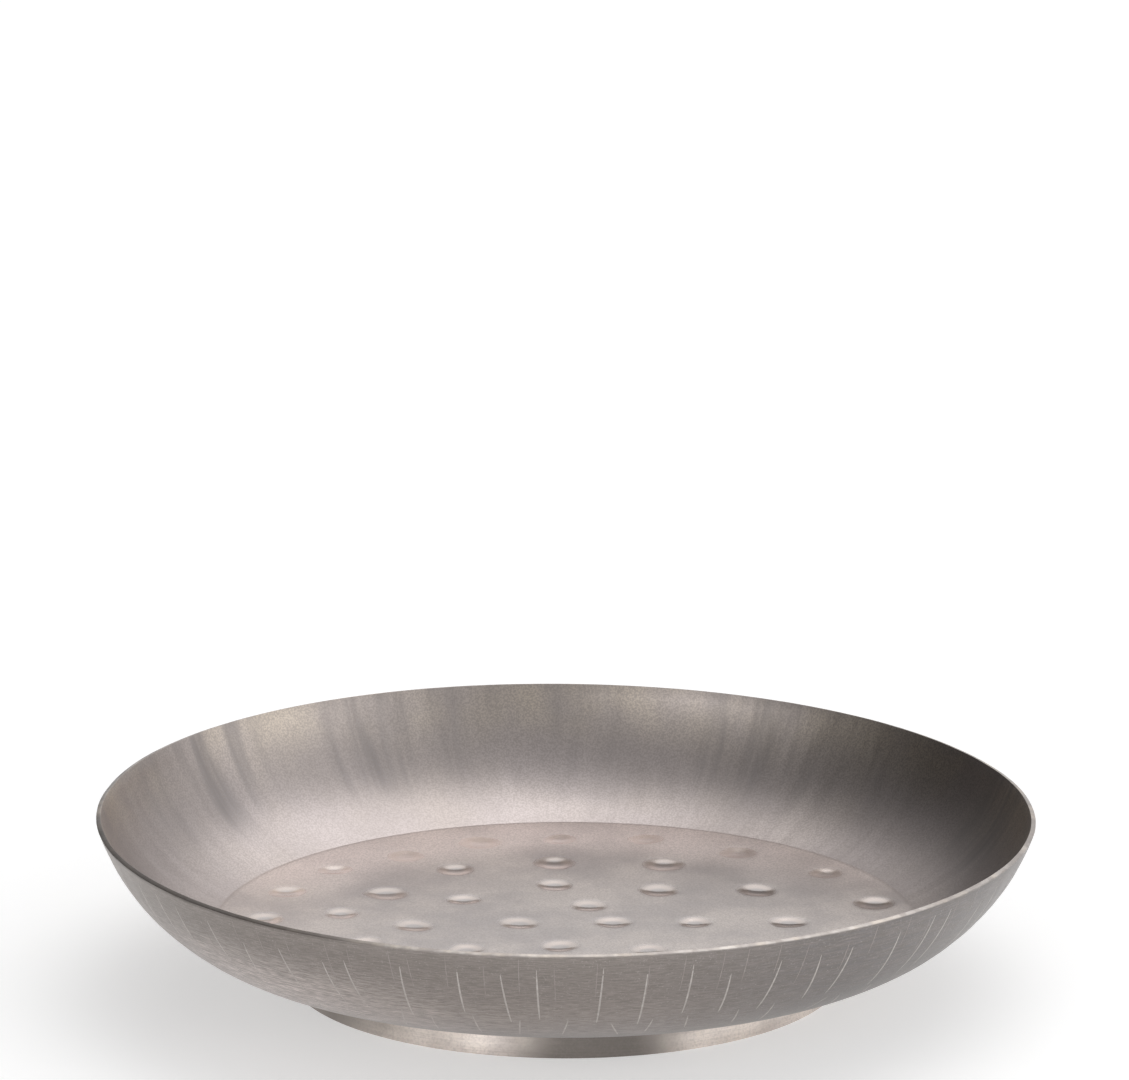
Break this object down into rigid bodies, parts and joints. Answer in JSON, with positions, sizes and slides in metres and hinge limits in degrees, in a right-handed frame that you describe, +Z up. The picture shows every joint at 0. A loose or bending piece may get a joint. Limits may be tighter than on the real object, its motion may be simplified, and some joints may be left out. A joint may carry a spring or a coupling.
{
  "type": "paten plate",
  "caption": "Shallow round paten of satin silvery sheet metal with a hammered flat floor, curved wall and low soldered foot ring.",
  "frame": {"origin": "centre of the circle that the foot ring rests on, at the lowest point of the plate", "axes": "+Z up along the plate's axis, towards the open side of the dish; X and Y level"},
  "size_m": [0.16, 0.16, 0.0284],
  "materials": {
    "dish_metal": "satin, brushed outside, hammer marked and aged in the floor",
    "foot_metal": "satin drawn strip, slightly aged",
    "solder": "dull silver solder"
  },
  "bodies": {
    "root": {"dish": "dish_metal", "foot_ring": "foot_metal", "solder_fillet_outer": "solder", "solder_fillet_inner": "solder"}
  },
  "joints": []
}
